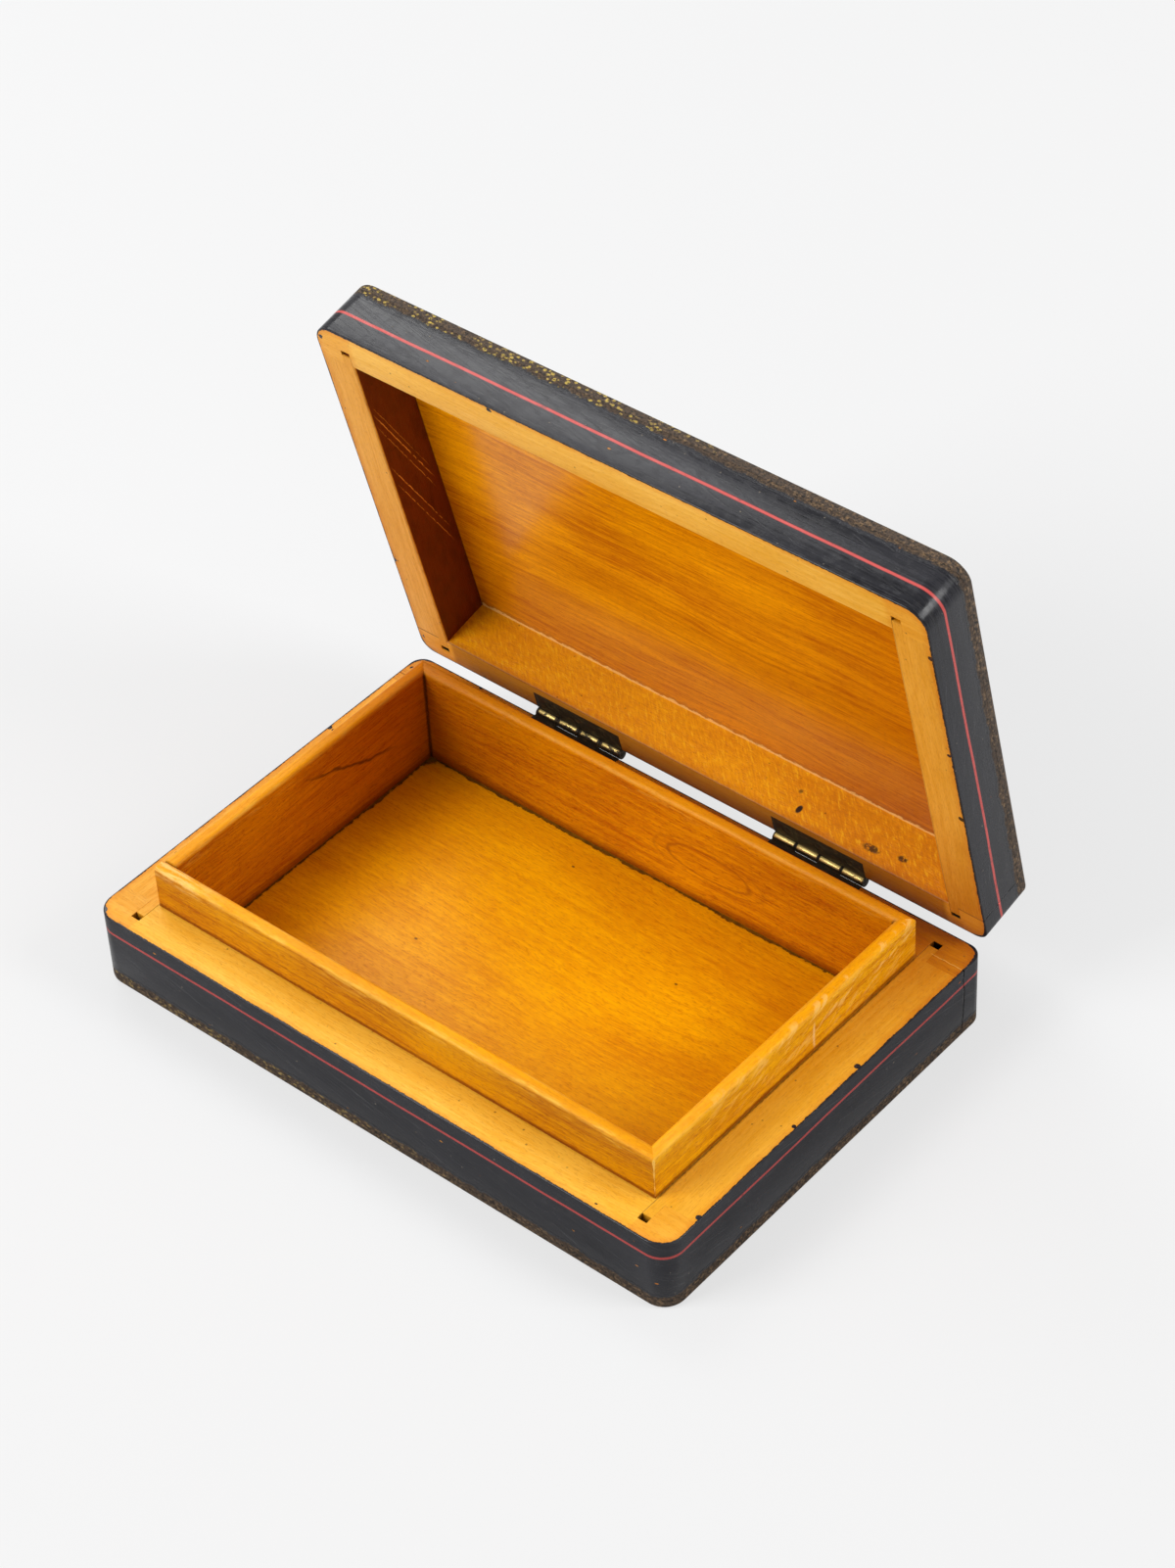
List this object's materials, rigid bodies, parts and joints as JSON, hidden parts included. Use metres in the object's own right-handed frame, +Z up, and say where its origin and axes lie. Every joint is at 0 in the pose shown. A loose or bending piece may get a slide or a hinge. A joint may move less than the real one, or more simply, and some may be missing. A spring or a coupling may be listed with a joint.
{
  "type": "hinged display case",
  "caption": "Empty lacquered wooden case with rounded corners, a raised inner liner and a hinged lid standing open.",
  "frame": {"origin": "centre of the underside", "axes": "+X along the case's length to the right, +Y to the hinges at the back, +Z up"},
  "size_m": [0.18, 0.1376, 0.1466],
  "materials": {
    "black_lacquer": "semi-gloss",
    "amber_wood": "varnished",
    "edge_board": "worn lacquer",
    "brass": "tarnished"
  },
  "bodies": {
    "base": {"bottom_board": "edge_board", "floor_panel": "amber_wood", "base_front_rail": "black_lacquer", "base_rear_rail": "black_lacquer", "base_left_rail": "black_lacquer", "base_right_rail": "black_lacquer", "liner_front": "amber_wood", "liner_rear": "amber_wood", "liner_left": "amber_wood", "liner_right": "amber_wood", "hinge_left_base_leaf": "brass", "hinge_left_pin": "brass", "hinge_right_base_leaf": "brass", "hinge_right_pin": "brass", "base_hinge_nails": "brass"},
    "lid": {"lid_front_rail": "black_lacquer", "lid_rear_rail": "black_lacquer", "lid_left_rail": "black_lacquer", "lid_right_rail": "black_lacquer", "lid_top_board": "edge_board", "hinge_left_lid_leaf": "brass", "hinge_right_lid_leaf": "brass", "lid_hinge_nails": "brass"}
  },
  "joints": [
    {"name": "lid_hinge", "type": "hinge", "parent": "base", "child": "lid", "pos_m": [0, 0.0616, 0.02215], "axis": [-1, 0, 0], "range_deg": [-77, 103]}
  ]
}
